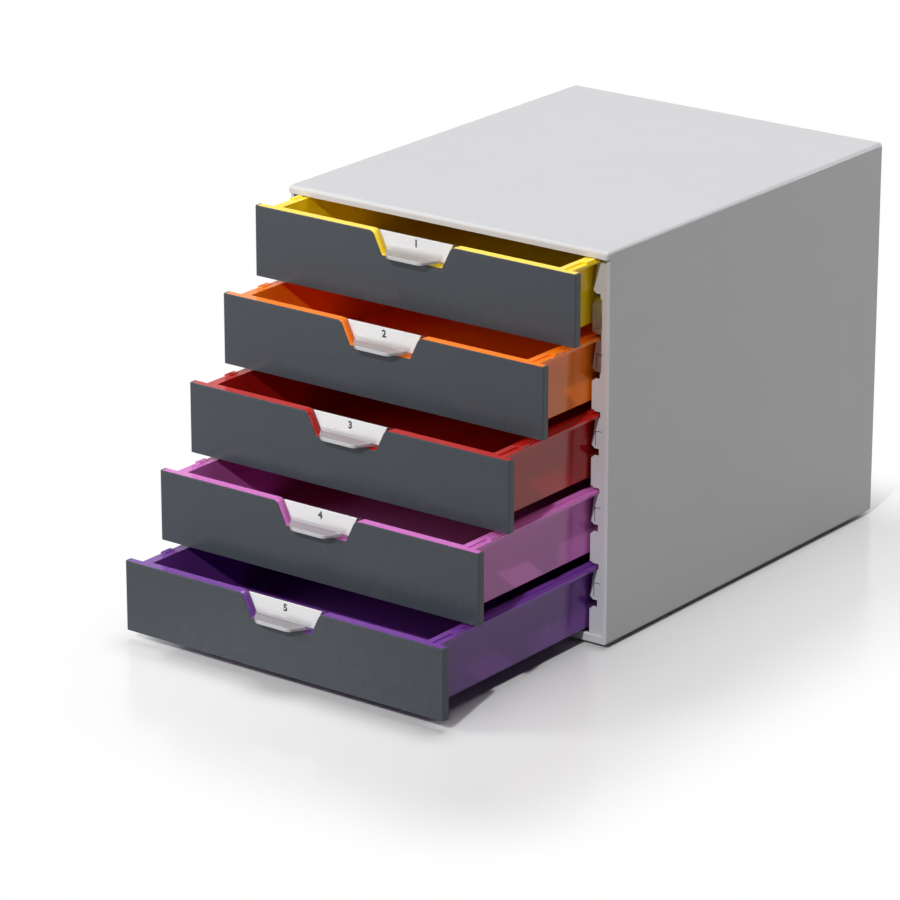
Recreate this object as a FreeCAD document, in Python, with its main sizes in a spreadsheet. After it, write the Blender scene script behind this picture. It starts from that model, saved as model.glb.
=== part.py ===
import FreeCAD, Part

import math
import os
import re

import Sketcher

# Desktop drawer organizer: a housing of five clipped panels with five sliding drawers.
# Millimetres. X runs to the right, +Y to the back, +Z up, and the feet stand on Z = 0.
# Housing sizes count from the front edges of the side walls, drawer sizes from the
# drawer's own front face and from the bottom edge of its cover.

SIZES = {
    # Housing shell
    "case_width": 280.0,
    "case_depth": 349.0,
    "case_height": 289.0,
    "shell_wall": 3.0,
    "shell_round": 2.4,
    "shell_front_round": 1.0,
    "lip_reach": 3.0,
    "lip_height": 5.6,
    # Rear panel and base
    "rear_wall": 2.5,
    "base_wall": 3.0,
    "base_lip_height": 6.6,
    "base_lip_round": 1.0,
    "strip_recess": 2.5,
    # Feet
    "foot_gap": 3.0,
    "foot_recess": 1.0,
    "foot_radius": 7.0,
    "foot_bevel": 0.8,
    "foot_inset_x": 20.0,
    "foot_inset_y": 24.0,
    # Guide channels in the rail panels
    "rail_thick": 13.2,
    "side_gap": 0.8,
    "channel_side_gap": 0.7,
    "channel_below": 0.2,
    "channel_above": 1.8,
    "relief_width": 3.7,
    "sill_wall": 1.2,
    "sill_height": 5.0,
    "spare_reach": 6.6,
    "spare_flare_reach": 3.0,
    "spare_flare_height": 2.6,
    "rib_wall": 2.0,
    "rail_skin": 2.0,
    "rail_end_wall": 4.0,
    "lug_drop": 1.0,
    "lug_length": 6.5,
    # Fine marks moulded in the front faces of the rail panels
    "slot_width": 0.7,
    "slot_depth": 2.0,
    "slot_across": 5.2,
    "slot_down": 11.0,
    "slot_above_channel": 2.0,
    "slot_inset": 4.0,
    "window_recess_width": 6.0,
    "window_recess_height": 11.0,
    "window_recess_drop": 9.0,
    "window_recess_depth": 1.0,
    # Drawers
    "lip_gap": 0.8,
    "cover_gap": 4.0,
    "tray_lip_gap": 2.6,
    "closed_reach": 7.0,
    "held_length": 106.5,
    "cover_skin": 1.0,
    "cover_round": 1.2,
    "cover_edge_round": 0.3,
    "cap_wall": 1.6,
    "clip_gap": 0.1,
    "bar_depth": 6.0,
    "bar_rise": 0.8,
    "bar_wall": 1.5,
    "bar_web": 2.2,
    # Trays
    "tray_rise": 3.6,
    "tray_wall": 1.8,
    "tray_floor": 2.0,
    "tray_draft": 1.0,
    "tray_inner_round": 3.0,
    "front_wall_back": 8.0,
    "rear_gap": 0.3,
    "flange_reach": 7.5,
    "flange_thick": 3.0,
    "ledge_width": 4.5,
    "ledge_step": 1.0,
    "bump_height": 0.5,
    "bump_length": 10.0,
    "bump_start": 27.0,
    "block_height": 1.4,
    "block_length": 6.0,
    "block_inset": 0.3,
    # Notch in the middle of each front
    "notch_top_width": 69.0,
    "notch_bottom_width": 53.0,
    "notch_depth": 16.5,
    "notch_round": 4.5,
    "notch_foot_round": 2.0,
    # Label holder with its pull tab, and the card in it
    "holder_front": 4.4,
    "holder_thick": 3.2,
    "holder_gap": 0.15,
    "pocket_front": 1.0,
    "pocket_depth": 0.9,
    "pocket_rim": 2.0,
    "card_thick": 0.5,
    "card_gap": 0.2,
    "tab_base_width": 50.0,
    "tab_lip_width": 32.0,
    "tab_reach": 9.5,
    "tab_drop": 12.2,
    "tab_thick": 1.8,
    "tab_lip_height": 2.3,
    "tab_lip_depth": 1.4,
    "tab_corner_round": 9.0,
    "tab_root_round": 6.5,
    "tab_root_wall": 0.5,
    "tab_margin": 1.0,
    # How far each drawer stands open, from the top one down
    "open_1": 33.6,
    "open_2": 70.3,
    "open_3": 108.8,
    "open_4": 142.7,
    "open_5": 182.0,
}

DRAWER_COUNT = 5
SIDES = {"left": -1, "right": 1}
# Radius of the circle on which a sketch's points start, before its constraints place them
GUESS_RADIUS = 50.0
# Two measures nearer than this, in millimetres, count as the same
SAME_PLACE = 0.01

# Measures that several pieces share, worked out by the sheet from the sizes above
SHARED = {
    "case_top": "foot_gap + case_height",
    "inner_half": "case_width / 2 - shell_wall",
    "rail_face": "inner_half - rail_thick",
    "inside_back": "case_depth - rear_wall",
    "base_top": "foot_gap + base_wall",
    "tray_half": "rail_face - side_gap",
    "tray_foot_half": "tray_half - tray_draft",
    "flange_half": "tray_half + flange_reach",
    "ledge_start": "flange_half - ledge_width",
    "first_drawer_height": "foot_gap + base_lip_height + tray_lip_gap - tray_rise",
    "drawer_span": "case_top - lip_height - lip_gap - first_drawer_height + cover_gap",
    "drawer_pitch": f"drawer_span / {DRAWER_COUNT}",
    "half_pitch": "drawer_pitch / 2",
    "cover_height": "drawer_pitch - cover_gap",
    "channel_half": "flange_half + channel_side_gap",
    "channel_height": "flange_thick + channel_below + channel_above",
    "first_channel": "first_drawer_height + cover_height - flange_thick - channel_below",
    "spare_floor": "first_channel - half_pitch",
    "spare_roof": "spare_floor + channel_height",
    "bar_half": "case_width / 2 - cap_wall - clip_gap",
    "tray_end": "closed_reach + inside_back - rear_gap",
    "full_travel": "inside_back - held_length",
    "block_front": "closed_reach + full_travel + strip_recess + lug_length",
    "notch_slope": "(notch_top_width - notch_bottom_width) / 2 / notch_depth",
    "origin_y": "(case_depth - closed_reach - open_5 - tab_reach) / 2",
}

doc = FreeCAD.newDocument("DrawerOrganizer")
sheet = doc.addObject("Spreadsheet::Sheet", "Sizes")
for row, (alias, number) in enumerate(SIZES.items(), start=1):
    sheet.set(f"A{row}", alias)
    sheet.set(f"B{row}", str(number))
    sheet.setAlias(f"B{row}", alias)
for row, (alias, formula) in enumerate(SHARED.items(), start=len(SIZES) + 1):
    sheet.set(f"A{row}", alias)
    sheet.set(f"B{row}", f"={formula}")
    sheet.setAlias(f"B{row}", alias)
doc.recompute()

nodes = []


def tie(formula):
    """Write a formula's size names as references to the sheet."""
    return re.sub(r"\b([a-z]+(?:_[a-z0-9]+)+)\b", r"Sizes.\1", str(formula))


def size(alias):
    """The number that the sheet holds or works out for a size."""
    return float(sheet.get(alias))


def new_body(label):
    """A named piece in the housing's place."""
    body = doc.addObject("PartDesign::Body", label)
    body.Label = label
    body.setExpression("Placement.Base.y", tie("-origin_y"))
    nodes.append(body)
    return body


def place_in_drawer(piece, number):
    """Put a piece that is drawn from a drawer's own front face where that drawer is."""
    piece.setExpression("Placement.Base.y", tie(f"-(origin_y + closed_reach + open_{number})"))
    piece.setExpression(
        "Placement.Base.z",
        tie(f"first_drawer_height + {DRAWER_COUNT - number} * drawer_pitch"),
    )


def new_sketch(body, name, role, offset="0"):
    """A sketch on one of the body's origin planes, moved along the plane's normal."""
    plane = next(f for f in body.Origin.OriginFeatures if f.Role == role)
    sketch = body.newObject("Sketcher::SketchObject", name)
    sketch.AttachmentSupport = [(plane, "")]
    sketch.MapMode = "FlatFace"
    sketch.setExpression("AttachmentOffset.Base.z", tie(offset))
    return sketch


def pin_point(sketch, edge, corner, guess, horizontal, vertical):
    """Tie one point of a sketch to two formulas."""
    for kind, start, formula in (
        ("DistanceX", guess.x, horizontal),
        ("DistanceY", guess.y, vertical),
    ):
        index = sketch.addConstraint(Sketcher.Constraint(kind, -1, 1, edge, corner, start))
        name = f"{kind[-1].lower()}_{edge}"
        sketch.renameConstraint(index, name)
        sketch.setExpression(f"Constraints.{name}", tie(formula))


def draw_outline(sketch, corners):
    """A closed outline of straight edges with each corner tied to its two formulas."""
    count = len(corners)
    first = sketch.GeometryCount
    turn = 2 * math.pi / count
    guesses = [
        FreeCAD.Vector(GUESS_RADIUS * math.cos(turn * i), GUESS_RADIUS * math.sin(turn * i), 0)
        for i in range(count)
    ]
    for i in range(count):
        sketch.addGeometry(Part.LineSegment(guesses[i], guesses[(i + 1) % count]))
    for i in range(count):
        sketch.addConstraint(
            Sketcher.Constraint("Coincident", first + i, 2, first + (i + 1) % count, 1)
        )
    for i, (horizontal, vertical) in enumerate(corners):
        pin_point(sketch, first + i, 1, guesses[i], horizontal, vertical)


def draw_circle(sketch, horizontal, vertical, radius):
    """A circle with its centre and radius tied to formulas."""
    guess = FreeCAD.Vector(GUESS_RADIUS, GUESS_RADIUS, 0)
    edge = sketch.addGeometry(Part.Circle(guess, FreeCAD.Vector(0, 0, 1), GUESS_RADIUS))
    pin_point(sketch, edge, 3, guess, horizontal, vertical)
    index = sketch.addConstraint(Sketcher.Constraint("Radius", edge, GUESS_RADIUS))
    sketch.renameConstraint(index, f"r_{edge}")
    sketch.setExpression(f"Constraints.r_{edge}", tie(radius))


def rectangle(low_x, low_y, high_x, high_y):
    """The four corners of a rectangle as formulas."""
    return [(low_x, low_y), (high_x, low_y), (high_x, high_y), (low_x, high_y)]


def mirrored(corners):
    """The same corners on the other side of the vertical axis."""
    return [(f"-({horizontal})", vertical) for horizontal, vertical in corners]


def grow(body, name, sketch, length, reverse=False, both_ways=False):
    """Pad a sketch. From the XZ plane, reverse means towards the back."""
    pad = body.newObject("PartDesign::Pad", name)
    pad.Profile = sketch
    pad.setExpression("Length", tie(length))
    pad.Reversed = reverse
    if both_ways:
        pad.SideType = "Symmetric"
    return pad


def cut(body, name, sketch, length, reverse=False, both_ways=False):
    """Pocket a sketch. From the XZ plane, plain means towards the back."""
    pocket = body.newObject("PartDesign::Pocket", name)
    pocket.Profile = sketch
    pocket.setExpression("Length", tie(length))
    pocket.Reversed = reverse
    if both_ways:
        pocket.SideType = "Symmetric"
    return pocket


def repeat_upwards(body, name, feature, step, count):
    """Repeat a feature straight up at an even step."""
    axis = next(f for f in body.Origin.OriginFeatures if f.Role == "Z_Axis")
    pattern = body.newObject("PartDesign::LinearPattern", name)
    pattern.Originals = [feature]
    pattern.Direction = (axis, [""])
    pattern.setExpression("Length", tie(f"({step}) * {count - 1}"))
    pattern.Occurrences = count
    body.Tip = pattern
    return pattern


def round_edges(body, name, radius, is_wanted):
    """Fillet the edges of the body so far that a test picks by their two ends."""
    doc.recompute()
    before = body.Tip
    names = []
    for number, edge in enumerate(before.Shape.Edges, start=1):
        ends = [vertex.Point for vertex in edge.Vertexes]
        if len(ends) == 2 and is_wanted(*ends):
            names.append(f"Edge{number}")
    if not names:
        raise RuntimeError(f"{body.Label} {name} found no edge")
    fillet = body.newObject("PartDesign::Fillet", name)
    fillet.Base = (before, names)
    fillet.setExpression("Radius", tie(radius))
    return fillet


def near(first, second):
    """True for two measures that are the same."""
    return abs(first - second) < SAME_PLACE


def make_shell():
    """Top and both sides in one moulding, with a lip over the top drawer."""
    body = new_body("housing_shell")
    half = "case_width / 2"
    profile = new_sketch(body, "shell_profile", "XZ_Plane")
    draw_outline(profile, [
        (f"-{half}", "foot_gap"),
        ("-inner_half", "foot_gap"),
        ("-inner_half", "case_top - shell_wall"),
        ("inner_half", "case_top - shell_wall"),
        ("inner_half", "foot_gap"),
        (half, "foot_gap"),
        (half, "case_top"),
        (f"-{half}", "case_top"),
    ])
    grow(body, "shell_walls", profile, "case_depth", reverse=True)
    lip = new_sketch(body, "lip_profile", "XZ_Plane")
    draw_outline(lip, rectangle(f"-{half}", "case_top - lip_height", half, "case_top"))
    grow(body, "front_lip", lip, "lip_reach")
    half_width = size("case_width") / 2
    foot = size("foot_gap")
    top = size("case_top")

    def is_outer_edge(start, end):
        along_top = near(start.z, top) and near(end.z, top)
        along_foot = near(start.z, foot) and near(end.z, foot)
        on_side = near(abs(start.x), half_width) and near(start.x, end.x)
        on_lip = near(start.y, -size("lip_reach")) and near(end.y, start.y)
        return (on_side and (along_top or along_foot or on_lip)) or (along_top and on_lip)

    round_edges(body, "outer_rounding", "shell_round", is_outer_edge)

    def is_upright_edge(start, end):
        on_side = near(abs(start.x), half_width) and near(start.x, end.x)
        return on_side and near(start.y, 0) and near(end.y, 0)

    round_edges(body, "front_rounding", "shell_front_round", is_upright_edge)


def make_rear_panel():
    """Flat panel let in between the sides, behind the base and the rails."""
    panel = doc.addObject("Part::Box", "rear_panel")
    panel.setExpression("Length", tie("2 * inner_half"))
    panel.setExpression("Width", tie("rear_wall"))
    panel.setExpression("Height", tie("case_height - shell_wall"))
    panel.setExpression("Placement.Base.x", tie("-inner_half"))
    panel.setExpression("Placement.Base.y", tie("inside_back - origin_y"))
    panel.setExpression("Placement.Base.z", tie("foot_gap"))
    nodes.append(panel)


def foot_places():
    """Name and centre of each foot, as formulas."""
    places = []
    for end, along in (("front", "foot_inset_y"), ("rear", "(case_depth - foot_inset_y)")):
        for side, sign in SIDES.items():
            across = f"{sign} * (case_width / 2 - foot_inset_x)"
            places.append((f"{end}_{side}_foot", across, along))
    return places


def make_base_panel():
    """Bottom panel with its low front lip and a shallow seat for each foot."""
    body = new_body("base_panel")
    profile = new_sketch(body, "base_profile", "YZ_Plane")
    draw_outline(profile, [
        ("0", "foot_gap"),
        ("inside_back", "foot_gap"),
        ("inside_back", "base_top"),
        ("strip_recess", "base_top"),
        ("strip_recess", "foot_gap + base_lip_height"),
        ("0", "foot_gap + base_lip_height"),
    ])
    grow(body, "base_plate", profile, "2 * inner_half", both_ways=True)
    seats = new_sketch(body, "foot_seats", "XY_Plane", "foot_gap")
    for _, across, along in foot_places():
        draw_circle(seats, across, along, "foot_radius")
    cut(body, "foot_seat_cut", seats, "foot_recess", reverse=True)
    foot = size("foot_gap")
    lip_top = foot + size("base_lip_height")

    def is_lip_front_edge(start, end):
        on_front = near(start.y, 0) and near(end.y, 0)
        return on_front and near(start.z, end.z) and (near(start.z, lip_top) or near(start.z, foot))

    round_edges(body, "lip_rounding", "base_lip_round", is_lip_front_edge)


def make_feet():
    """Four round pads, pressed into the seats in the base and bevelled at the bottom."""
    for name, across, along in foot_places():
        pad = doc.addObject("Part::Cylinder", f"{name}_pad")
        pad.setExpression("Radius", tie("foot_radius"))
        pad.setExpression("Height", tie("foot_gap + foot_recess - foot_bevel"))
        pad.setExpression("Placement.Base.z", tie("foot_bevel"))
        bevel = doc.addObject("Part::Cone", f"{name}_bevel")
        bevel.setExpression("Radius1", tie("foot_radius - foot_bevel"))
        bevel.setExpression("Radius2", tie("foot_radius"))
        bevel.setExpression("Height", tie("foot_bevel"))
        foot = doc.addObject("Part::MultiFuse", name)
        foot.Shapes = [pad, bevel]
        foot.Label = name
        foot.setExpression("Placement.Base.x", tie(across))
        foot.setExpression("Placement.Base.y", tie(f"{along} - origin_y"))
        nodes.append(foot)


def make_rail_panel(side):
    """Inner side panel: guide channels at half the drawer pitch, stop lugs, cored from outside."""
    sign = SIDES[side]

    def across(formula):
        return f"{sign} * ({formula})"

    body = new_body(f"{side}_rail_panel")
    block = new_sketch(body, "panel_front", "XZ_Plane", "-strip_recess")
    draw_outline(block, rectangle(
        across("rail_face"), "base_top", across("inner_half"), "case_top - shell_wall",
    ))
    depth = "(inside_back - strip_recess)"
    grow(body, "panel_block", block, depth, reverse=True)

    # A drawer's channel, and below it the slanting face down to the spare channel
    used = new_sketch(body, "channel_front", "XZ_Plane", "-strip_recess")
    draw_outline(used, [
        (across("rail_face"), "first_channel + channel_height"),
        (across("channel_half"), "first_channel + channel_height"),
        (across("channel_half"), "first_channel"),
        (across("rail_face + relief_width"), "first_channel"),
        (across("rail_face"), "spare_roof"),
    ])
    channel = cut(body, "channel", used, depth)
    repeat_upwards(body, "channels", channel, "drawer_pitch", DRAWER_COUNT)

    # The spare channels between the drawers, with flared mouths and a lower floor behind a sill
    spare_end = across("rail_face + spare_reach")
    flare_end = across("rail_face + spare_flare_reach")
    mouth = [
        (across("rail_face"), "spare_floor - spare_flare_height"),
        (flare_end, "spare_floor"),
        (spare_end, "spare_floor"),
        (spare_end, "spare_roof"),
        (flare_end, "spare_roof"),
        (across("rail_face"), "spare_roof + spare_flare_height"),
    ]
    well = rectangle(across("rail_face"), "spare_floor - sill_height", spare_end, "spare_roof")
    for name, start, outline in (
        ("spare_channel", "strip_recess", mouth),
        ("spare_well", "(strip_recess + sill_wall)", well),
    ):
        spare = new_sketch(body, f"{name}_front", "XZ_Plane", f"-{start}")
        draw_outline(spare, outline)
        spare_cut = cut(body, name, spare, f"inside_back - {start}")
        repeat_upwards(body, f"{name}s", spare_cut, "drawer_pitch", DRAWER_COUNT)

    # Stop lugs under the roof of each drawer's channel
    roof = "first_channel + channel_height"
    lug_front = new_sketch(body, "lug_front", "XZ_Plane", "-strip_recess")
    draw_outline(lug_front, rectangle(
        across("ledge_start"), f"{roof} - lug_drop", across("channel_half"), roof,
    ))
    lug = grow(body, "stop_lug", lug_front, "lug_length", reverse=True)
    repeat_upwards(body, "stop_lugs", lug, "drawer_pitch", DRAWER_COUNT)

    # Hollows behind the ribs, open towards the shell
    hollow_start = "rail_face + relief_width + rail_skin"
    hollow_floor = "spare_roof + rib_wall"
    hollow_top = "first_channel - sill_height - rib_wall"
    core = new_sketch(body, "hollow_front", "XZ_Plane", "-(strip_recess + rail_end_wall)")
    draw_outline(core, rectangle(
        across(hollow_start), hollow_floor, across("inner_half"), hollow_top,
    ))
    hollow = cut(body, "hollow", core, f"{depth} - 2 * rail_end_wall")
    repeat_upwards(body, "hollows", hollow, "half_pitch", 2 * DRAWER_COUNT - 1)

    # Fine snap-tongue slots just above each spare channel
    slots = new_sketch(body, "slot_front", "XZ_Plane", "-strip_recess")
    slot_foot = "spare_roof + slot_above_channel"
    slot_head = f"{slot_foot} + slot_down"
    slot_side = "channel_half - slot_inset"
    draw_outline(slots, [
        (across(slot_side), slot_foot),
        (across(f"{slot_side} + slot_width"), slot_foot),
        (across(f"{slot_side} + slot_width"), f"{slot_head} - slot_width"),
        (across(f"{slot_side} + slot_across"), f"{slot_head} - slot_width"),
        (across(f"{slot_side} + slot_across"), slot_head),
        (across(slot_side), slot_head),
    ])
    slot = cut(body, "snap_slot", slots, "slot_depth")
    repeat_upwards(body, "snap_slots", slot, "drawer_pitch", DRAWER_COUNT - 1)

    # Shallow recess below the topmost spare channel
    recess = new_sketch(body, "recess_front", "XZ_Plane", "-strip_recess")
    recess_top = f"spare_floor + {DRAWER_COUNT - 1} * drawer_pitch - window_recess_drop"
    draw_outline(recess, rectangle(
        across("rail_face + rail_skin"), f"{recess_top} - window_recess_height",
        across("rail_face + rail_skin + window_recess_width"), recess_top,
    ))
    cut(body, "front_recess", recess, "window_recess_depth")


def notch_corners(inset="0"):
    """The notch's outline, or one that lies inside it by an even inset, top edge first."""
    shift = f"({inset}) * sqrt(1 + notch_slope * notch_slope)"
    top_half = f"(notch_top_width / 2 - {shift})"
    foot_half = f"(notch_bottom_width / 2 - {shift} + ({inset}) * notch_slope)"
    foot = f"(cover_height - notch_depth + ({inset}))"
    return [
        (f"-{top_half}", "cover_height"),
        (f"-{foot_half}", foot),
        (foot_half, foot),
        (top_half, "cover_height"),
    ]


def round_notch_foot(body):
    """Round the two bottom corners of a notch, or of the plate that fills it."""
    foot = size("cover_height") - size("notch_depth")
    reach = 2 * size("holder_gap")

    def is_foot(start, end):
        runs_back = near(start.x, end.x) and near(start.z, end.z) and not near(start.y, end.y)
        return runs_back and abs(start.z - foot) < reach

    round_edges(body, "notch_feet", "notch_foot_round", is_foot)


def round_notch(body):
    """Round the notch's bottom corners and the shoulders where it meets the top edge."""
    round_notch_foot(body)
    shoulder = size("notch_top_width") / 2
    top = size("cover_height")

    def is_shoulder(start, end):
        at_corner = near(abs(start.x), shoulder) and near(start.x, end.x)
        return at_corner and near(start.z, top) and near(end.z, top)

    round_edges(body, "notch_shoulders", "notch_round", is_shoulder)


def make_tray(number):
    """Coloured tray: tapered box, side flanges, stops, and the hollow bar across its front."""
    body = new_body(f"drawer_{number}_tray")
    place_in_drawer(body, number)
    outer = new_sketch(body, "tray_section", "XZ_Plane", "-cover_skin")
    right_side = [
        ("tray_foot_half", "tray_rise"),
        ("tray_half", "cover_height - flange_thick"),
        ("flange_half", "cover_height - flange_thick"),
        ("flange_half", "cover_height - ledge_step"),
        ("ledge_start", "cover_height - ledge_step"),
        ("ledge_start", "cover_height"),
    ]
    draw_outline(outer, right_side + mirrored(reversed(right_side)))
    grow(body, "tray_block", outer, "tray_end - cover_skin", reverse=True)

    bar = new_sketch(body, "bar_front", "XZ_Plane", "-cover_skin")
    draw_outline(bar, rectangle("-bar_half", "bar_rise", "bar_half", "cover_height"))
    grow(body, "front_bar", bar, "bar_depth - cover_skin", reverse=True)

    inside = new_sketch(body, "inside_section", "XZ_Plane", "-front_wall_back")
    foot_half = "(tray_foot_half - tray_wall)"
    floor_top = "tray_rise + tray_floor"
    draw_outline(inside, [
        (f"-{foot_half}", floor_top),
        (foot_half, floor_top),
        ("tray_half - tray_wall", "cover_height"),
        ("-(tray_half - tray_wall)", "cover_height"),
    ])
    cut(body, "inside", inside, "tray_end - front_wall_back - tray_wall")
    floor_height = size("tray_rise") + size("tray_floor")

    def is_floor_edge(start, end):
        return near(start.z, floor_height) and near(end.z, floor_height)

    round_edges(body, "floor_rounding", "tray_inner_round", is_floor_edge)

    # Hollow of the bar, open to the cover, with a wall left round the notch
    hollow = new_sketch(body, "bar_hollow_front", "XZ_Plane", "-cover_skin")
    wall_half = "(bar_half - bar_wall)"
    under_web = "(cover_height - bar_web)"
    left_top, left_foot, right_foot, right_top = notch_corners("-bar_wall")
    draw_outline(hollow, [
        (f"-{wall_half}", "bar_rise + bar_wall"),
        (wall_half, "bar_rise + bar_wall"),
        (wall_half, under_web),
        (right_top[0], under_web),
        right_foot,
        left_foot,
        (left_top[0], under_web),
        (f"-{wall_half}", under_web),
    ])
    cut(body, "bar_hollow", hollow, "bar_depth - cover_skin - bar_wall")

    notch = new_sketch(body, "notch_front", "XZ_Plane", "-cover_skin")
    draw_outline(notch, notch_corners())
    cut(body, "notch", notch, "front_wall_back - cover_skin")
    round_notch(body)

    # Bumps near the front and stop blocks near the back, on the ledges of both flanges
    for name, start, length, height in (
        ("bumps", "bump_start", "bump_length", "bump_height"),
        ("stop_blocks", "block_front", "block_length", "block_height"),
    ):
        plan = new_sketch(body, f"{name}_plan", "XY_Plane", "cover_height - ledge_step")
        footprint = rectangle(
            "ledge_start", start, "flange_half - block_inset", f"{start} + {length}",
        )
        draw_outline(plan, footprint)
        draw_outline(plan, mirrored(footprint))
        grow(body, name, plan, f"ledge_step + {height}")


def make_cover(number):
    """Dark front cover whose end caps wrap back over the ends of the tray's bar."""
    body = new_body(f"drawer_{number}_cover")
    place_in_drawer(body, number)
    half = "case_width / 2"
    cap_inner = "(case_width / 2 - cap_wall)"
    front = new_sketch(body, "cover_front", "XZ_Plane")
    draw_outline(front, rectangle(f"-{half}", "0", half, "cover_height"))
    grow(body, "cover_block", front, "bar_depth", reverse=True)
    inner = new_sketch(body, "cover_inner", "XZ_Plane", "-cover_skin")
    draw_outline(inner, rectangle(f"-{cap_inner}", "0", cap_inner, "cover_height"))
    cut(body, "cover_hollow", inner, "bar_depth - cover_skin")
    notch = new_sketch(body, "notch_front", "XZ_Plane")
    draw_outline(notch, notch_corners())
    cut(body, "notch", notch, "cover_skin")
    round_notch(body)
    half_width = size("case_width") / 2

    def is_upright_front_edge(start, end):
        on_side = near(abs(start.x), half_width) and near(start.x, end.x)
        return on_side and near(start.y, 0) and near(end.y, 0)

    round_edges(body, "upright_rounding", "cover_round", is_upright_front_edge)

    def is_long_front_edge(start, end):
        level = near(start.z, end.z) and (near(start.z, 0) or near(start.z, size("cover_height")))
        is_long = abs(start.x - end.x) > half_width / 2
        return level and is_long and near(start.y, 0) and near(end.y, 0)

    round_edges(body, "front_edge_rounding", "cover_edge_round", is_long_front_edge)


def make_holder(number):
    """Clear label holder that fills the notch, with a level pull tab on its front."""
    body = new_body(f"drawer_{number}_holder")
    place_in_drawer(body, number)
    base_half = "tab_base_width / 2"
    lip_half = "tab_lip_width / 2"
    tab_top = "cover_height - tab_drop"
    block_top = f"{tab_top} + tab_root_round + tab_margin"
    lip_foot = f"{tab_top} - tab_lip_height"
    lip_back = "tab_lip_depth - tab_reach"
    root_back = "holder_front + tab_root_wall"

    # The tab is cut from a block with the tab's outline seen from above
    plan = new_sketch(body, "tab_plan", "XY_Plane", lip_foot)
    draw_outline(plan, [
        (f"-{lip_half}", "-tab_reach"),
        (lip_half, "-tab_reach"),
        (base_half, root_back),
        (f"-{base_half}", root_back),
    ])
    grow(body, "tab_block", plan, f"{block_top} - ({lip_foot})")
    tab_front = -size("tab_reach")

    def is_tab_corner(start, end):
        return near(start.y, tab_front) and near(end.y, tab_front) and near(start.x, end.x)

    round_edges(body, "tab_corners", "tab_corner_round", is_tab_corner)
    above = new_sketch(body, "above_tab", "YZ_Plane")
    draw_outline(above, rectangle(
        "-(tab_reach + tab_margin)", tab_top, "holder_front", f"{block_top} + tab_margin",
    ))
    cut(body, "space_above", above, "2 * tab_base_width", both_ways=True)
    below = new_sketch(body, "below_tab", "YZ_Plane")
    draw_outline(below, rectangle(
        lip_back, f"{lip_foot} - tab_margin", f"{root_back} + tab_margin", f"{tab_top} - tab_thick",
    ))
    cut(body, "space_below", below, "2 * tab_base_width", both_ways=True)
    root_line = (size("holder_front"), size("cover_height") - size("tab_drop"))

    def is_root(start, end):
        return all(near(p.y, root_line[0]) and near(p.z, root_line[1]) for p in (start, end))

    round_edges(body, "tab_root", "tab_root_round", is_root)

    plate = new_sketch(body, "plate_front", "XZ_Plane", "-holder_front")
    draw_outline(plate, notch_corners("holder_gap"))
    grow(body, "plate", plate, "holder_thick", reverse=True)
    round_notch_foot(body)
    pocket = new_sketch(body, "pocket_front", "XZ_Plane", "-(holder_front + pocket_front)")
    draw_outline(pocket, notch_corners("holder_gap + pocket_rim"))
    cut(body, "card_pocket", pocket, "pocket_depth")


def make_card(number):
    """Paper label card standing in the holder's pocket."""
    body = new_body(f"drawer_{number}_card")
    place_in_drawer(body, number)
    front = new_sketch(body, "card_front", "XZ_Plane", "-(holder_front + pocket_front + card_gap)")
    draw_outline(front, notch_corners("holder_gap + pocket_rim + card_gap"))
    grow(body, "card", front, "card_thick", reverse=True)


make_shell()
make_rear_panel()
make_base_panel()
for side_name in SIDES:
    make_rail_panel(side_name)
make_feet()
for drawer_number in range(1, DRAWER_COUNT + 1):
    make_tray(drawer_number)
    make_cover(drawer_number)
    make_holder(drawer_number)
    make_card(drawer_number)
doc.recompute()

for item in doc.Objects:
    if "Invalid" in item.State or "Error" in item.State:
        raise RuntimeError(f"{item.Label} did not build: {item.State}")
for node in nodes:
    if node.Shape.isNull() or not node.Shape.isValid() or len(node.Shape.Solids) != 1:
        raise RuntimeError(f"{node.Label} is not one sound solid")

os.makedirs("parts", exist_ok=True)
for node in nodes:
    node.Shape.exportStep(f"parts/{node.Label}.step")
    box = node.Shape.BoundBox
    print(f"{node.Label}: {box.XLength:.1f} x {box.YLength:.1f} x {box.ZLength:.1f} mm")
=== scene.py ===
import math

import bpy
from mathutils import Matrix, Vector


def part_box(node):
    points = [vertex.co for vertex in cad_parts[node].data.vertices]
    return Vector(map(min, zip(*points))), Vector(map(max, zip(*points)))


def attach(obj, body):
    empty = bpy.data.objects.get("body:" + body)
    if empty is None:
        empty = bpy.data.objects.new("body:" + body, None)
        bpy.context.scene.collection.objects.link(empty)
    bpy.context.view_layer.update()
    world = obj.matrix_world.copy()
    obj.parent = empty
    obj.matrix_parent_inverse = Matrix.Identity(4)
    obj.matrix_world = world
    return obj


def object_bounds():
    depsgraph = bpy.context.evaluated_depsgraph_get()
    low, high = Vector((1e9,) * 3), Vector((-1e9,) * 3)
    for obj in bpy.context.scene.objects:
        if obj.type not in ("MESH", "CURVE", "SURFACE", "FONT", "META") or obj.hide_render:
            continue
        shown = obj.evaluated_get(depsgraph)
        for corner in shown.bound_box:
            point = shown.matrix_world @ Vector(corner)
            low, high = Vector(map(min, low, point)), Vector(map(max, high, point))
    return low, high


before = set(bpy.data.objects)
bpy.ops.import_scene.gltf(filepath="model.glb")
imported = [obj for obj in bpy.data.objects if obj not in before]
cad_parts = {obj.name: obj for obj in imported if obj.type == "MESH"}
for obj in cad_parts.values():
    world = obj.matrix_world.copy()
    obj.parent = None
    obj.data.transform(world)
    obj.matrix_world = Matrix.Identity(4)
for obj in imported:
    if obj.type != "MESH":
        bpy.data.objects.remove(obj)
cad_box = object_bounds()

# Everything is in metres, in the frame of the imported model.
MM = 0.001
DRAWERS = (1, 2, 3, 4, 5)

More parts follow.
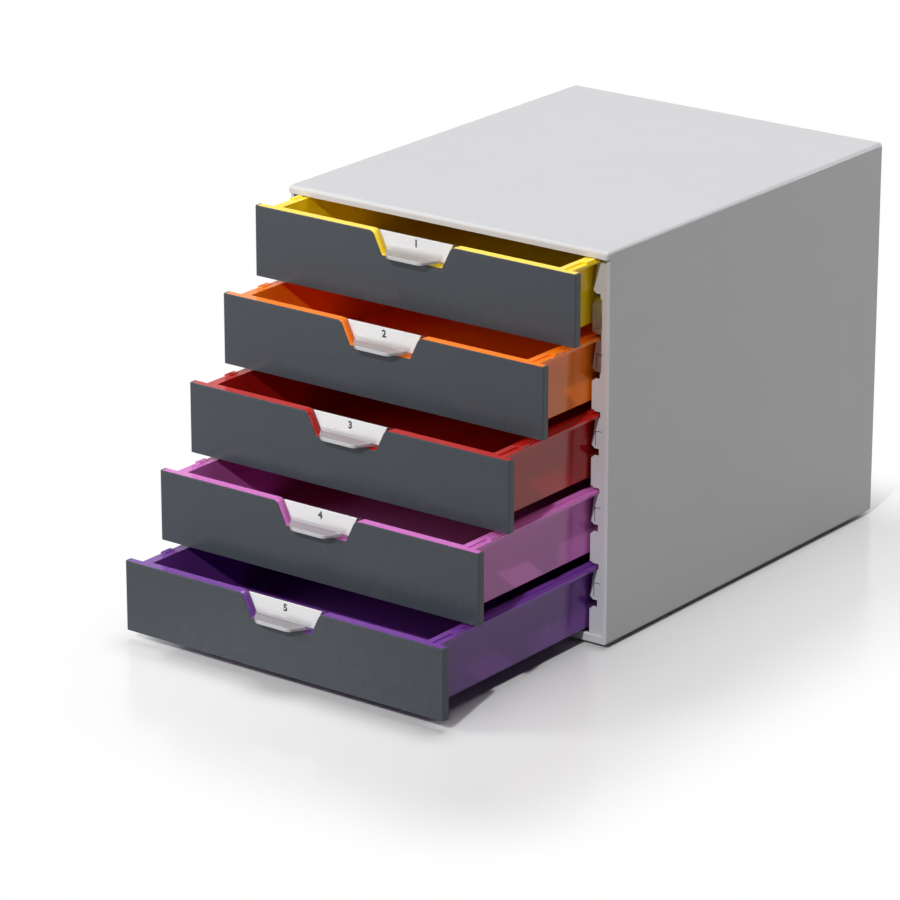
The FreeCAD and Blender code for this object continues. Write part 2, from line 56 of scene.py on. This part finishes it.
# Camera, at the photograph's viewing angle
HOUSING_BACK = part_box("housing_shell")[1][1]
CAMERA_PLACE = (1.8335, HOUSING_BACK - 2.775, 1.1856)
CAMERA_AZIMUTH = math.radians(37.035)
CAMERA_ELEVATION = math.radians(19.319)
SENSOR_WIDTH = 36.0
LENS = 181.17

# Lamps: a key from the front, five soft boxes and a dim room.
# Each soft box has its place, the point that it aims at, its size and its power.
KEY_DIRECTION = (-2.9, 13.0, -10.4)
KEY_STRENGTH = 2.3
KEY_ANGLE = math.radians(1.6)
SOFT_BOXES = {
    "overhead": ((0.06, 0.15, 2.1), (0.0, 0.1, 0.15), 1.2, 32.0),
    "right": ((1.6, 0.15, 0.08), (0.13, 0.05, 0.08), 0.2, 1.6),
    "left": ((-1.9, 0.1, 0.3), (-0.1, 0.1, 0.15), 0.5, 5.0),
    "behind": ((0.5, 1.9, 0.3), (0.0, 0.2, 0.15), 0.5, 5.0),
    "fill": ((-0.5, -0.75, 0.4), (-0.14, -0.1, 0.2), 0.3, 3.4),
}
ROOM_STRENGTH = 0.03

# Floor. It starts to fade at FLOOR_NEAR and is white from FLOOR_FAR on, both measured outwards
# from the object's footprint, which is moved by FLOOR_SHIFT for this. The light that it throws
# back at the object takes the darker bounce colour.
FLOOR_REACH = 8.0
FLOOR_SHIFT = (0.06, -0.045)
FLOOR_NEAR = 0.015
FLOOR_FAR = 0.14
FLOOR_COLOUR = (0.69, 0.69, 0.685, 1)
FLOOR_BOUNCE_COLOUR = (0.25, 0.25, 0.25, 1)
FLOOR_ROUGHNESS = 0.16

# Colours of the plastics, rubber, paper and ink, linear
SHELL_COLOUR = (0.48, 0.48, 0.494, 1)
RAIL_COLOUR = (0.45, 0.45, 0.467, 1)
COVER_COLOUR = (0.042, 0.049, 0.058, 1)
TRAY_COLOURS = {
    1: (0.96, 0.66, 0.010, 1),
    2: (0.96, 0.21, 0.008, 1),
    3: (0.44, 0.013, 0.010, 1),
    4: (0.57, 0.15, 0.48, 1),
    5: (0.155, 0.04, 0.28, 1),
}
RUBBER_COLOUR = (0.02, 0.02, 0.02, 1)
PAPER_COLOUR = (0.9, 0.9, 0.9, 1)
PRINT_COLOUR = (0.02, 0.02, 0.025, 1)

# Roughness of each finish
SHELL_ROUGHNESS = 0.42
COVER_ROUGHNESS = 0.28
TRAY_ROUGHNESS = 0.13
RUBBER_ROUGHNESS = 0.8
PAPER_ROUGHNESS = 0.9
PRINT_ROUGHNESS = 0.6

# Amounts of tone drift, handling smudges and gloss: the usual ones, and those of some surfaces
USUAL_DRIFT = 0.05
CLEAR_DRIFT = 0.02
USUAL_SMUDGE = 0.06
COVER_SMUDGE = 0.03
PAPER_SMUDGE = 0.02
USUAL_GLOSS = 0.5
COVER_GLOSS = 0.25
TRAY_GLOSS = 0.35

# Depth of the fine relief on each surface, and how strongly it shows
SHELL_RELIEF = 0.03 * MM
TRAY_RELIEF = 0.01 * MM
RUBBER_RELIEF = 0.1 * MM
PAPER_RELIEF = 0.02 * MM
PRINT_RELIEF = 0.01 * MM
RELIEF_STRENGTH = 0.5

# Noise of each effect: its scale for a piece measured in metres, and how many times finer
# detail is added to it
GRAIN_SCALE = 2500.0
GRAIN_DETAIL = 3.0
GRAIN_ROUGHNESS = 0.6
DRIFT_SCALE = 9.0
DRIFT_DETAIL = 2.0
SMUDGE_SCALE = 38.0
SMUDGE_DETAIL = 2.0
FIBRE_SCALE = 900.0
FIBRE_DETAIL = 8.0
FIBRE_ROUGHNESS = 0.7
FIBRE_STRETCH = 6.0
# Noise values at and under which a smudge is glossiest, and at and over which it is dullest
SMUDGE_GLOSSY = 0.35
SMUDGE_DULL = 0.65

# Broken edges of the mouldings, on edges that turn by more than the sharp angle
SHARP_ANGLE = math.radians(30)
EDGE_STEPS = 2
SEAM_WIDTH = 0.001 * MM
SHELL_EDGE = 0.3 * MM
COVER_EDGE = 0.2 * MM
TRAY_EDGE = 0.4 * MM

# Clear plastic of the holders, milky on the tab, with a painted highlight along the tab's lip
CLEAR_COLOUR = (0.25, 0.235, 0.245, 1)
# Paler colour of the tab's lip: a painted highlight where its edge catches the light
LIP_HIGHLIGHT_COLOUR = (0.55, 0.54, 0.55, 1)
CLEAR_ROUGHNESS = 0.12
CLEAR_IOR = 1.49
CLEAR_ALPHA = 0.10
TAB_ALPHA = 0.78
# Shares of the holder's depth, from the tab's front: where the plate starts, over how much the
# tab turns milky in front of the plate, and how far back the painted highlight on the tab's lip
# reaches
HOLDER_PLATE = 0.80
TAB_BLEND = 0.30
TAB_LIP_HIGHLIGHT = 0.08

# Numbers printed on the label cards: their height, how far they stand over the card's lower
# edge, how much their strokes are thickened, and how thick the ink lies
NUMBER_HEIGHT = 5.3 * MM
NUMBER_RISE = 7.2 * MM
NUMBER_BOLD = 0.34 * MM
PRINT_THICKNESS = 0.02 * MM
# Height of a digit as a share of the font's size
CAP_SHARE = 0.73


def new_group(name, inputs, outputs):
    """A shader node group with the given (name, kind, start value) sockets."""
    group = bpy.data.node_groups.new(name, "ShaderNodeTree")
    for socket_name, kind, value in inputs:
        socket = group.interface.new_socket(name=socket_name, in_out="INPUT", socket_type=kind)
        socket.default_value = value
    for socket_name, kind in outputs:
        group.interface.new_socket(name=socket_name, in_out="OUTPUT", socket_type=kind)
    return group, group.nodes.new("NodeGroupInput"), group.nodes.new("NodeGroupOutput")


def add_noise(group, vector, scale, detail):
    """Noise at a place in the group, with the given scale socket and amount of detail."""
    noise = group.nodes.new("ShaderNodeTexNoise")
    noise.inputs["Detail"].default_value = detail
    group.links.new(vector, noise.inputs["Vector"])
    group.links.new(scale, noise.inputs["Scale"])
    return noise


def add_place(group):
    """The place on the piece, in the piece's own metres."""
    return group.nodes.new("ShaderNodeTexCoord").outputs["Object"]


def make_grain_group():
    """Fine spark-eroded grain of a moulded surface, as a height."""
    group, start, end = new_group(
        "moulded_grain",
        [
            ("Scale", "NodeSocketFloat", GRAIN_SCALE),
            ("Roughness", "NodeSocketFloat", GRAIN_ROUGHNESS),
        ],
        [("Height", "NodeSocketFloat")],
    )
    noise = add_noise(group, add_place(group), start.outputs["Scale"], GRAIN_DETAIL)
    group.links.new(start.outputs["Roughness"], noise.inputs["Roughness"])
    group.links.new(noise.outputs["Fac"], end.inputs["Height"])
    return group


def make_drift_group():
    """Slow drift of tone over a large moulding."""
    group, start, end = new_group(
        "tone_drift",
        [
            ("Color", "NodeSocketColor", SHELL_COLOUR),
            ("Scale", "NodeSocketFloat", DRIFT_SCALE),
            ("Amount", "NodeSocketFloat", USUAL_DRIFT),
        ],
        [("Color", "NodeSocketColor")],
    )
    nodes, links = group.nodes, group.links
    noise = add_noise(group, add_place(group), start.outputs["Scale"], DRIFT_DETAIL)
    centred = nodes.new("ShaderNodeMath")
    centred.operation = "SUBTRACT"
    centred.inputs[1].default_value = 0.5
    links.new(noise.outputs["Fac"], centred.inputs[0])
    amount = nodes.new("ShaderNodeMath")
    amount.operation = "MULTIPLY_ADD"
    amount.inputs[2].default_value = 1.0
    links.new(centred.outputs[0], amount.inputs[0])
    links.new(start.outputs["Amount"], amount.inputs[1])
    scaled = nodes.new("ShaderNodeVectorMath")
    scaled.operation = "SCALE"
    links.new(start.outputs["Color"], scaled.inputs[0])
    links.new(amount.outputs[0], scaled.inputs["Scale"])
    links.new(scaled.outputs[0], end.inputs["Color"])
    return group


def make_handling_group():
    """Roughness of a handled surface: soft smudges a little duller or glossier than the rest."""
    group, start, end = new_group(
        "handling",
        [
            ("Roughness", "NodeSocketFloat", SHELL_ROUGHNESS),
            ("Amount", "NodeSocketFloat", USUAL_SMUDGE),
            ("Scale", "NodeSocketFloat", SMUDGE_SCALE),
        ],
        [("Roughness", "NodeSocketFloat")],
    )
    nodes, links = group.nodes, group.links
    noise = add_noise(group, add_place(group), start.outputs["Scale"], SMUDGE_DETAIL)
    smudge = nodes.new("ShaderNodeMapRange")
    smudge.interpolation_type = "SMOOTHSTEP"
    smudge.inputs["From Min"].default_value = SMUDGE_GLOSSY
    smudge.inputs["From Max"].default_value = SMUDGE_DULL
    smudge.inputs["To Min"].default_value = -0.5
    smudge.inputs["To Max"].default_value = 0.5
    links.new(noise.outputs["Fac"], smudge.inputs["Value"])
    total = nodes.new("ShaderNodeMath")
    total.operation = "MULTIPLY_ADD"
    links.new(smudge.outputs["Result"], total.inputs[0])
    links.new(start.outputs["Amount"], total.inputs[1])
    links.new(start.outputs["Roughness"], total.inputs[2])
    links.new(total.outputs[0], end.inputs["Roughness"])
    return group


def make_fibre_group():
    """Short paper fibres that lie mostly level, as a height."""
    group, start, end = new_group(
        "paper_fibre",
        [
            ("Scale", "NodeSocketFloat", FIBRE_SCALE),
            ("Stretch", "NodeSocketFloat", FIBRE_STRETCH),
        ],
        [("Height", "NodeSocketFloat")],
    )
    nodes, links = group.nodes, group.links
    factors = nodes.new("ShaderNodeCombineXYZ")
    factors.inputs["X"].default_value = 1.0
    factors.inputs["Y"].default_value = 1.0
    links.new(start.outputs["Stretch"], factors.inputs["Z"])
    stretched = nodes.new("ShaderNodeVectorMath")
    stretched.operation = "MULTIPLY"
    links.new(add_place(group), stretched.inputs[0])
    links.new(factors.outputs[0], stretched.inputs[1])
    noise = add_noise(group, stretched.outputs[0], start.outputs["Scale"], FIBRE_DETAIL)
    noise.inputs["Roughness"].default_value = FIBRE_ROUGHNESS
    links.new(noise.outputs["Fac"], end.inputs["Height"])
    return group


def make_tab_group():
    """Masks of the pull tab: one in front of the holder's plate, and one for the painted
    highlight on the tab's lip.
    """
    group, start, end = new_group(
        "pull_tab",
        [
            ("Plate", "NodeSocketFloat", HOLDER_PLATE),
            ("Blend", "NodeSocketFloat", TAB_BLEND),
            ("Reach", "NodeSocketFloat", TAB_LIP_HIGHLIGHT),
        ],
        [("Mask", "NodeSocketFloat"), ("Lip Highlight", "NodeSocketFloat")],
    )
    nodes, links = group.nodes, group.links
    place = nodes.new("ShaderNodeTexCoord")
    parts = nodes.new("ShaderNodeSeparateXYZ")
    links.new(place.outputs["Generated"], parts.inputs[0])
    from_plate = nodes.new("ShaderNodeMath")
    from_plate.operation = "SUBTRACT"
    links.new(start.outputs["Plate"], from_plate.inputs[0])
    links.new(parts.outputs["Y"], from_plate.inputs[1])
    share = nodes.new("ShaderNodeMath")
    share.operation = "DIVIDE"
    share.use_clamp = True
    links.new(from_plate.outputs[0], share.inputs[0])
    links.new(start.outputs["Blend"], share.inputs[1])
    links.new(share.outputs[0], end.inputs["Mask"])
    # Mask of the painted highlight: full at the tab's front, fading to none at the lip's reach
    lip_highlight = nodes.new("ShaderNodeMapRange")
    lip_highlight.inputs["To Min"].default_value = 1.0
    lip_highlight.inputs["To Max"].default_value = 0.0
    links.new(parts.outputs["Y"], lip_highlight.inputs["Value"])
    links.new(start.outputs["Reach"], lip_highlight.inputs["From Max"])
    links.new(lip_highlight.outputs["Result"], end.inputs["Lip Highlight"])
    return group


GRAIN = make_grain_group()
DRIFT = make_drift_group()
HANDLING = make_handling_group()
FIBRE = make_fibre_group()
TAB = make_tab_group()


def place_group(material, group, values):
    """Put a group in a material with its own values."""
    node = material.node_tree.nodes.new("ShaderNodeGroup")
    node.node_tree = group
    for name, value in values.items():
        node.inputs[name].default_value = value
    return node


def make_material(
    name, colour, roughness, relief, relief_depth,
    drift=USUAL_DRIFT, smudge=USUAL_SMUDGE, gloss=USUAL_GLOSS,
):
    """A surface whose tone drifts, whose roughness shows handling, with a fine relief."""
    material = bpy.data.materials.new(name)
    material.use_nodes = True
    nodes, links = material.node_tree.nodes, material.node_tree.links
    shader = nodes["Principled BSDF"]
    shader.inputs["Specular IOR Level"].default_value = gloss
    tone = place_group(material, DRIFT, {"Color": colour, "Amount": drift})
    links.new(tone.outputs["Color"], shader.inputs["Base Color"])
    finish = place_group(material, HANDLING, {"Roughness": roughness, "Amount": smudge})
    links.new(finish.outputs["Roughness"], shader.inputs["Roughness"])
    height = place_group(material, relief, {})
    bump = nodes.new("ShaderNodeBump")
    bump.inputs["Distance"].default_value = relief_depth
    bump.inputs["Strength"].default_value = RELIEF_STRENGTH
    links.new(height.outputs["Height"], bump.inputs["Height"])
    links.new(bump.outputs["Normal"], shader.inputs["Normal"])
    return material


def make_clear_plastic():
    """Clear plastic of the label holders, frosted on the tab, with a painted highlight on the
    tab's lip.
    """
    material = make_material(
        "clear_plastic", CLEAR_COLOUR, CLEAR_ROUGHNESS, GRAIN, TRAY_RELIEF, drift=CLEAR_DRIFT,
    )
    nodes, links = material.node_tree.nodes, material.node_tree.links
    shader = nodes["Principled BSDF"]
    shader.inputs["IOR"].default_value = CLEAR_IOR
    tab = place_group(
        material, TAB, {"Plate": HOLDER_PLATE, "Blend": TAB_BLEND, "Reach": TAB_LIP_HIGHLIGHT},
    )
    # Painted highlight: the tab's lip is mixed towards the paler lip colour
    colour = nodes.new("ShaderNodeMix")
    colour.data_type = "RGBA"
    colour.inputs["B"].default_value = LIP_HIGHLIGHT_COLOUR
    links.new(tab.outputs["Lip Highlight"], colour.inputs["Factor"])
    links.new(shader.inputs["Base Color"].links[0].from_socket, colour.inputs["A"])
    links.new(colour.outputs["Result"], shader.inputs["Base Color"])
    cover = nodes.new("ShaderNodeMapRange")
    cover.inputs["To Min"].default_value = CLEAR_ALPHA
    cover.inputs["To Max"].default_value = TAB_ALPHA
    links.new(tab.outputs["Mask"], cover.inputs["Value"])
    links.new(cover.outputs["Result"], shader.inputs["Alpha"])
    return material


def dress(node, material, edge_width=0.0):
    """Give a CAD node its finish, and break its sharp edges by the given width."""
    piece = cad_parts[node]
    for slot in piece.material_slots:
        slot.material = material
    if edge_width:
        seams = piece.modifiers.new("closed_seams", "WELD")
        seams.merge_threshold = SEAM_WIDTH
        edges = piece.modifiers.new("broken_edges", "BEVEL")
        edges.width = edge_width
        edges.segments = EDGE_STEPS
        edges.limit_method = "ANGLE"
        edges.angle_limit = SHARP_ANGLE
        edges.harden_normals = True


def make_camera():
    """Camera at the photograph's place, level and without shift."""
    data = bpy.data.cameras.new("camera")
    data.sensor_width = SENSOR_WIDTH
    data.lens = LENS
    camera = bpy.data.objects.new("camera", data)
    camera.location = CAMERA_PLACE
    camera.rotation_euler = (math.pi / 2 - CAMERA_ELEVATION, 0, CAMERA_AZIMUTH)
    bpy.context.collection.objects.link(camera)
    bpy.context.scene.camera = camera


def add_lamp(data, place, direction):
    """Stand a lamp at a place, shining along a direction."""
    lamp = bpy.data.objects.new(data.name, data)
    lamp.location = place
    lamp.rotation_euler = Vector(direction).to_track_quat("-Z", "Y").to_euler()
    bpy.context.collection.objects.link(lamp)


def make_lamps():
    """Key lamp and soft boxes."""
    key = bpy.data.lights.new("key", "SUN")
    key.energy = KEY_STRENGTH
    key.angle = KEY_ANGLE
    add_lamp(key, (0, 0, 0), KEY_DIRECTION)
    for name, (place, target, size, power) in SOFT_BOXES.items():
        soft_box = bpy.data.lights.new(name, "AREA")
        soft_box.energy = power
        soft_box.shape = "SQUARE"
        soft_box.size = size
        add_lamp(soft_box, place, Vector(target) - Vector(place))


def sees_background(nodes, links):
    """One for rays from the camera, off a glossy surface or through a clear one."""
    rays = nodes.new("ShaderNodeLightPath")
    seen = rays.outputs["Is Camera Ray"]
    for kind in ("Is Glossy Ray", "Is Transmission Ray"):
        either = nodes.new("ShaderNodeMath")
        either.operation = "MAXIMUM"
        links.new(seen, either.inputs[0])
        links.new(rays.outputs[kind], either.inputs[1])
        seen = either.outputs[0]
    return seen


def make_room():
    """Dim light from all round, with a white background."""
    world = bpy.data.worlds.new("room")
    world.use_nodes = True
    nodes, links = world.node_tree.nodes, world.node_tree.links
    nodes.clear()
    output = nodes.new("ShaderNodeOutputWorld")
    background = nodes.new("ShaderNodeBackground")
    strength = nodes.new("ShaderNodeMix")
    strength.data_type = "FLOAT"
    strength.inputs["A"].default_value = ROOM_STRENGTH
    strength.inputs["B"].default_value = 1.0
    links.new(sees_background(nodes, links), strength.inputs["Factor"])
    links.new(strength.outputs["Result"], background.inputs["Strength"])
    links.new(background.outputs[0], output.inputs["Surface"])
    bpy.context.scene.world = world


def fade_outwards(nodes, links):
    """Zero under the object, growing to one with the distance from its footprint."""
    low, high = cad_box
    centre = [(low[i] + high[i]) / 2 + FLOOR_SHIFT[i] for i in range(2)]
    half = [(high[i] - low[i]) / 2 for i in range(2)]
    place = nodes.new("ShaderNodeTexCoord")
    moved = place.outputs["Object"]
    for operation, amount in (
        ("SUBTRACT", (*centre, 0)),
        ("ABSOLUTE", None),
        ("SUBTRACT", (*half, 0)),
        ("MAXIMUM", (0, 0, 0)),
        ("LENGTH", None),
    ):
        step = nodes.new("ShaderNodeVectorMath")
        step.operation = operation
        links.new(moved, step.inputs[0])
        if amount:
            step.inputs[1].default_value = amount
        moved = step.outputs["Value" if operation == "LENGTH" else "Vector"]
    fade = nodes.new("ShaderNodeMapRange")
    fade.interpolation_type = "SMOOTHSTEP"
    fade.inputs["From Min"].default_value = FLOOR_NEAR
    fade.inputs["From Max"].default_value = FLOOR_FAR
    links.new(moved, fade.inputs["Value"])
    return fade.outputs["Result"]


def make_floor_material():
    """Pale floor that fades to a white which only the camera and reflections see."""
    material = bpy.data.materials.new("floor")
    material.use_nodes = True
    nodes, links = material.node_tree.nodes, material.node_tree.links
    shader = nodes["Principled BSDF"]
    shader.inputs["Roughness"].default_value = FLOOR_ROUGHNESS
    seen_rays = sees_background(nodes, links)
    colour = nodes.new("ShaderNodeMix")
    colour.data_type = "RGBA"
    colour.inputs["A"].default_value = FLOOR_BOUNCE_COLOUR
    colour.inputs["B"].default_value = FLOOR_COLOUR
    links.new(seen_rays, colour.inputs["Factor"])
    links.new(colour.outputs["Result"], shader.inputs["Base Color"])
    whiteness = nodes.new("ShaderNodeMath")
    whiteness.operation = "MULTIPLY"
    links.new(fade_outwards(nodes, links), whiteness.inputs[0])
    links.new(seen_rays, whiteness.inputs[1])
    white = nodes.new("ShaderNodeEmission")
    mixed = nodes.new("ShaderNodeMixShader")
    links.new(whiteness.outputs[0], mixed.inputs["Fac"])
    links.new(shader.outputs[0], mixed.inputs[1])
    links.new(white.outputs[0], mixed.inputs[2])
    links.new(mixed.outputs[0], nodes["Material Output"].inputs["Surface"])
    return material


def make_floor():
    """Floor that keeps the object's shadow and fades to white further out."""
    mesh = bpy.data.meshes.new("floor")
    reach = FLOOR_REACH
    mesh.from_pydata(
        [(-reach, -reach, 0), (reach, -reach, 0), (reach, reach, 0), (-reach, reach, 0)],
        [], [(0, 1, 2, 3)],
    )
    mesh.materials.append(make_floor_material())
    floor = bpy.data.objects.new("floor", mesh)
    bpy.context.collection.objects.link(floor)


def print_number(number, ink):
    """The drawer's plain number, printed near the middle of its label card."""
    low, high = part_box(f"drawer_{number}_card")
    text = bpy.data.curves.new(f"drawer_{number}_number", "FONT")
    text.body = str(number)
    text.size = NUMBER_HEIGHT / CAP_SHARE
    text.align_x = "CENTER"
    text.align_y = "BOTTOM_BASELINE"
    text.extrude = PRINT_THICKNESS / 2
    text.offset = NUMBER_BOLD
    text.materials.append(ink)
    piece = bpy.data.objects.new(f"drawer_{number}_number", text)
    piece.location = ((low[0] + high[0]) / 2, low[1] - PRINT_THICKNESS / 2, low[2] + NUMBER_RISE)
    piece.rotation_euler = (math.pi / 2, 0, 0)
    bpy.context.collection.objects.link(piece)
    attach(piece, f"drawer_{number}")


def dress_housing():
    """Finish of the shell, the rear and base panels, the rail panels and the feet."""
    shell_plastic = make_material(
        "shell_plastic", SHELL_COLOUR, SHELL_ROUGHNESS, GRAIN, SHELL_RELIEF,
    )
    rail_plastic = make_material(
        "rail_plastic", RAIL_COLOUR, SHELL_ROUGHNESS, GRAIN, SHELL_RELIEF,
    )
    foot_rubber = make_material(
        "foot_rubber", RUBBER_COLOUR, RUBBER_ROUGHNESS, GRAIN, RUBBER_RELIEF,
    )
    for node in ("housing_shell", "rear_panel", "base_panel"):
        dress(node, shell_plastic, SHELL_EDGE)
    for side in ("left", "right"):
        dress(f"{side}_rail_panel", rail_plastic, SHELL_EDGE)
        for end in ("front", "rear"):
            dress(f"{end}_{side}_foot", foot_rubber)


def dress_drawers():
    """Finish of each drawer's tray, cover, holder and card, and the number on the card."""
    cover_plastic = make_material(
        "cover_plastic", COVER_COLOUR, COVER_ROUGHNESS, GRAIN, SHELL_RELIEF,
        smudge=COVER_SMUDGE, gloss=COVER_GLOSS,
    )
    label_paper = make_material(
        "label_paper", PAPER_COLOUR, PAPER_ROUGHNESS, FIBRE, PAPER_RELIEF, smudge=PAPER_SMUDGE,
    )
    label_ink = make_material(
        "label_ink", PRINT_COLOUR, PRINT_ROUGHNESS, FIBRE, PRINT_RELIEF, smudge=PAPER_SMUDGE,
    )
    clear_plastic = make_clear_plastic()
    for number in DRAWERS:
        tray_plastic = make_material(
            f"tray_{number}_plastic", TRAY_COLOURS[number], TRAY_ROUGHNESS, GRAIN, TRAY_RELIEF,
            gloss=TRAY_GLOSS,
        )
        dress(f"drawer_{number}_tray", tray_plastic, TRAY_EDGE)
        dress(f"drawer_{number}_cover", cover_plastic, COVER_EDGE)
        dress(f"drawer_{number}_holder", clear_plastic, COVER_EDGE)
        dress(f"drawer_{number}_card", label_paper)
        print_number(number, label_ink)


make_camera()
make_lamps()
make_room()
make_floor()
dress_housing()
dress_drawers()

bpy.context.scene.view_settings.view_transform = "Standard"
